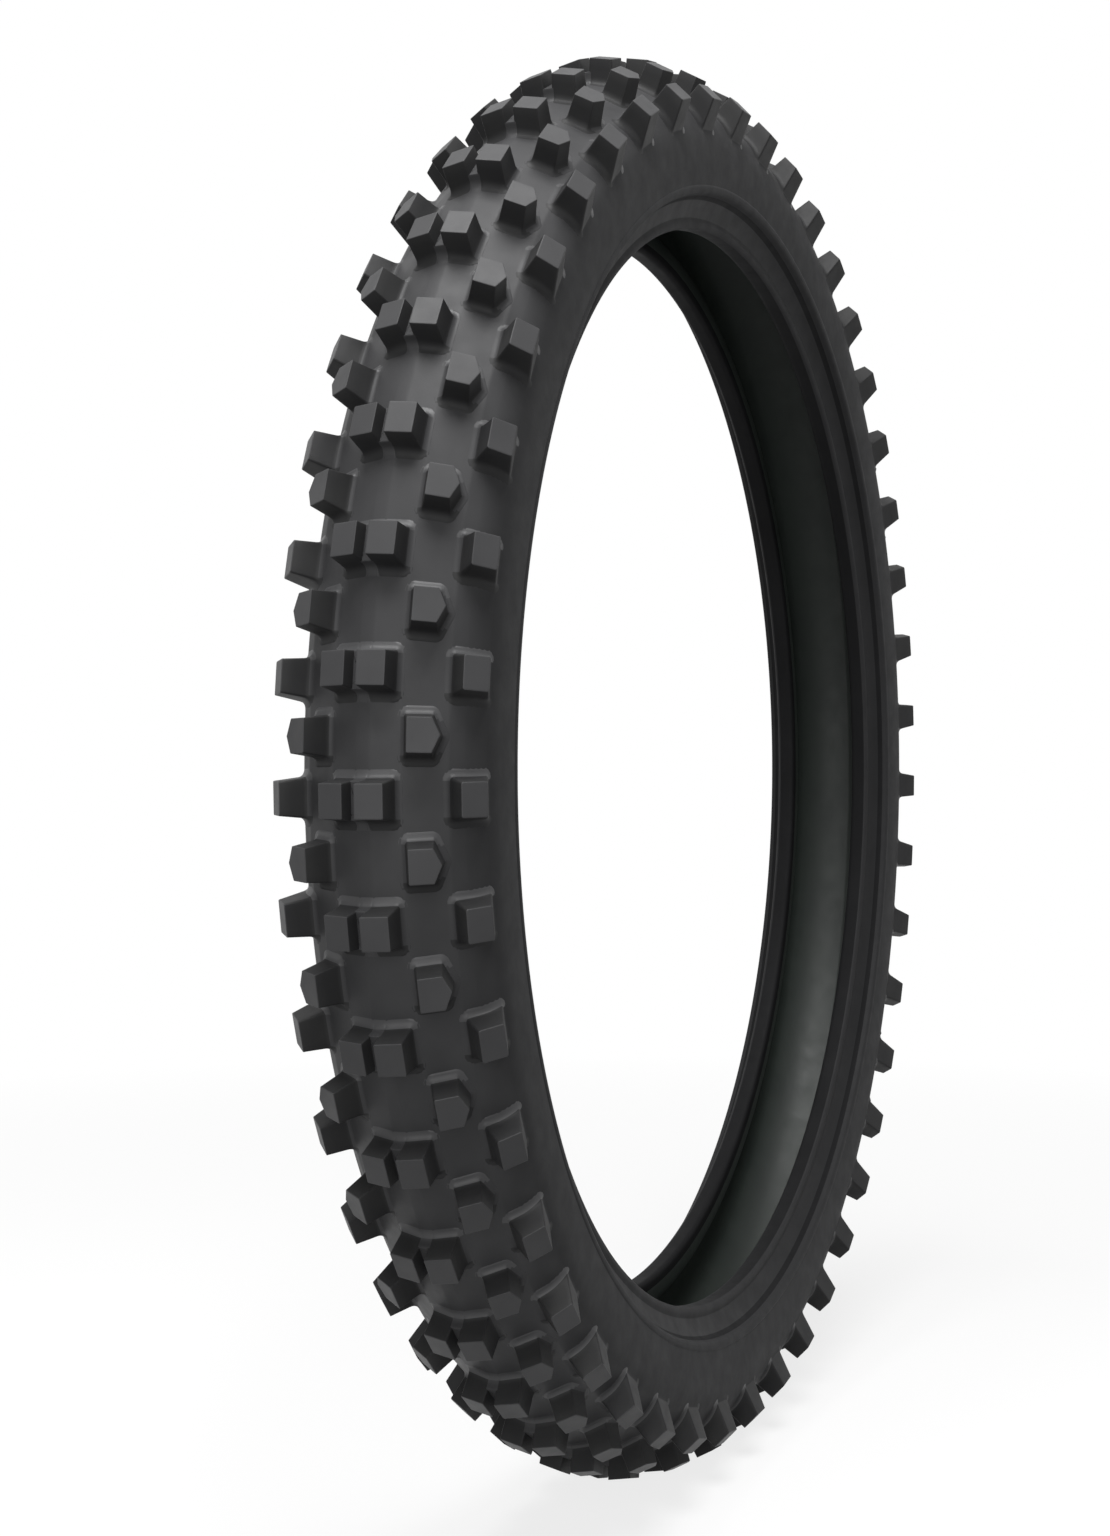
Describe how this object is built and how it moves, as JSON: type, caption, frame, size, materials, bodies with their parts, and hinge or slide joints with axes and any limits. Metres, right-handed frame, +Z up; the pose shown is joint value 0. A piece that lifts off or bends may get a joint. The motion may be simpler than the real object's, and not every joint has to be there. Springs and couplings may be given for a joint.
{
  "type": "motorcycle tire",
  "caption": "Off-road motorcycle front tire with rows of separate rubber blocks round a narrow round-shouldered casing, open at the beads.",
  "frame": {"origin": "centre of the tire: on the axle line, half-way between the beads", "axes": "+Y along the axle towards the tire's right side, +Z up with the tire standing on its tread, +X across; one pair of centre blocks stands exactly at the bottom"},
  "size_m": [0.6968, 0.09, 0.6963],
  "materials": {
    "tread_rubber": "matte",
    "sidewall_rubber": "satin",
    "chafer_rubber": "satin",
    "liner_rubber": "satin",
    "gum_rubber": "matte",
    "ply_cord": "matte",
    "wrap_tape": "matte",
    "bead_wire": "satin"
  },
  "bodies": {
    "root": {"tread_base": "tread_rubber", "tread_cushion": "gum_rubber", "breaker_ply": "ply_cord", "body_ply_outer": "ply_cord", "body_ply_inner": "ply_cord", "inner_liner": "liner_rubber", "sidewall_left": "sidewall_rubber", "sidewall_right": "sidewall_rubber", "chafer_left": "chafer_rubber", "chafer_right": "chafer_rubber", "bead_wires_left": "bead_wire", "bead_wires_right": "bead_wire", "bead_wrap_left": "wrap_tape", "bead_wrap_right": "wrap_tape", "bead_filler_left": "gum_rubber", "bead_filler_right": "gum_rubber", "centre_blocks_left": "tread_rubber", "centre_blocks_right": "tread_rubber", "centre_tie_bars": "tread_rubber", "transition_blocks_left": "tread_rubber", "transition_blocks_right": "tread_rubber", "shoulder_blocks_left": "tread_rubber", "shoulder_blocks_right": "tread_rubber"}
  },
  "joints": []
}
